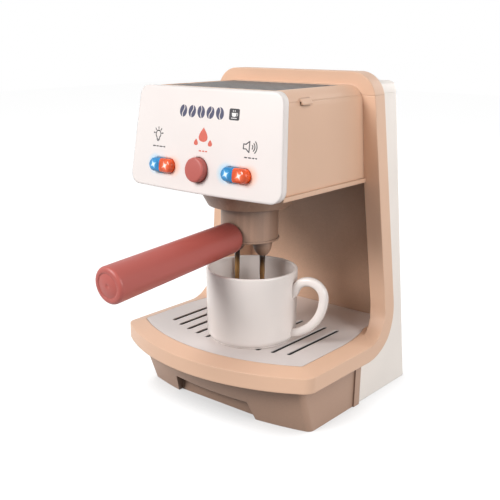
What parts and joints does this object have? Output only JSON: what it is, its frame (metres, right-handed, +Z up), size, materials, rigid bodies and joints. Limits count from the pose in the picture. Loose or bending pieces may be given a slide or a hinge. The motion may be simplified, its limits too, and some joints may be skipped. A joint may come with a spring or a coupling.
{
  "type": "toy espresso machine",
  "caption": "Toy espresso machine with a lift-off lid, push buttons, a twisting filter holder with a long handle, a slotted drip tray and a cup.",
  "frame": {"origin": "on the ground, on the centre plane, straight below the top of the frame's front face, on the underside of the bottom plate", "axes": "+Z is up, -Y is the front, where the handle points, and +X is to the right seen from the front"},
  "size_m": [0.174, 0.2453, 0.24],
  "materials": {
    "peach": "satin moulded plastic",
    "tan": "satin moulded plastic",
    "cream": "satin moulded plastic",
    "white": "satin moulded plastic",
    "white_gloss": "semi-gloss moulded plastic",
    "grey": "dark grey moulded plastic",
    "red": "brick red satin plastic",
    "clear_white": "milky plastic",
    "blue_lens": "tinted clear plastic, blue",
    "orange_lens": "tinted clear plastic, orange-red",
    "circuit_board": "green solder mask over glass-fibre board",
    "black": "black plastic",
    "led_epoxy": "milky epoxy",
    "tank_plastic": "translucent plastic",
    "pump_plastic": "off-white plastic",
    "steel": "bright metal",
    "hose": "translucent soft tube",
    "cell_wrap": null
  },
  "bodies": {
    "machine": {"frame": "peach", "skirt": "tan", "rear_shell": "cream", "bay_wall": "peach", "base_plate": "tan", "battery_door": "tan", "cells": "cell_wrap", "contacts": "steel", "screws": "steel", "drip_pan": "tan", "head_shell": "peach", "head_base": "peach", "panel": "white", "board": "circuit_board", "switches": "black", "leds": "led_epoxy", "speaker": "black", "tank": "tank_plastic", "pump_head": "pump_plastic", "pump_motor": "steel", "hose_in": "hose", "hose_out": "hose", "collar": "tan"},
    "lid": {"lid_front": "peach", "lid_cap": "cream", "grille": "grey"},
    "water_button": {"water_button": "red"},
    "light_button": {"light_base": "clear_white", "light_blue": "blue_lens", "light_red": "orange_lens"},
    "sound_button": {"sound_base": "clear_white", "sound_blue": "blue_lens", "sound_red": "orange_lens"},
    "portafilter": {"portafilter": "tan", "spouts": "tan", "grip": "red"},
    "drip_plate": {"drip_plate": "white"},
    "cup": {"cup": "white_gloss"}
  },
  "joints": [
    {"name": "lid_lift", "type": "slide", "parent": "machine", "child": "lid", "axis": [0, 0, 1], "range_m": [0, 0.05]},
    {"name": "water_button_press", "type": "slide", "parent": "machine", "child": "water_button", "axis": [0, 0.9914, -0.1305], "range_m": [0, 0.0025], "stiffness_N_per_m": 200, "springref_m": -0.001},
    {"name": "light_button_press", "type": "slide", "parent": "machine", "child": "light_button", "axis": [0, 0.9914, -0.1305], "range_m": [0, 0.0025], "stiffness_N_per_m": 200, "springref_m": -0.001},
    {"name": "sound_button_press", "type": "slide", "parent": "machine", "child": "sound_button", "axis": [0, 0.9914, -0.1305], "range_m": [0, 0.0025], "stiffness_N_per_m": 200, "springref_m": -0.001},
    {"name": "bayonet_turn", "type": "hinge", "parent": "machine", "child": "portafilter", "pos_m": [0, -0.048, 0.15], "axis": [0, 0, 1], "range_deg": [-45, 0]},
    {"name": "drip_plate_lift", "type": "slide", "parent": "machine", "child": "drip_plate", "axis": [0, 0, 1], "range_m": [0, 0.005]},
    {"name": "cup_take_out", "type": "slide", "parent": "drip_plate", "child": "cup", "axis": [1, 0, 0], "range_m": [0, 0.13]}
  ]
}
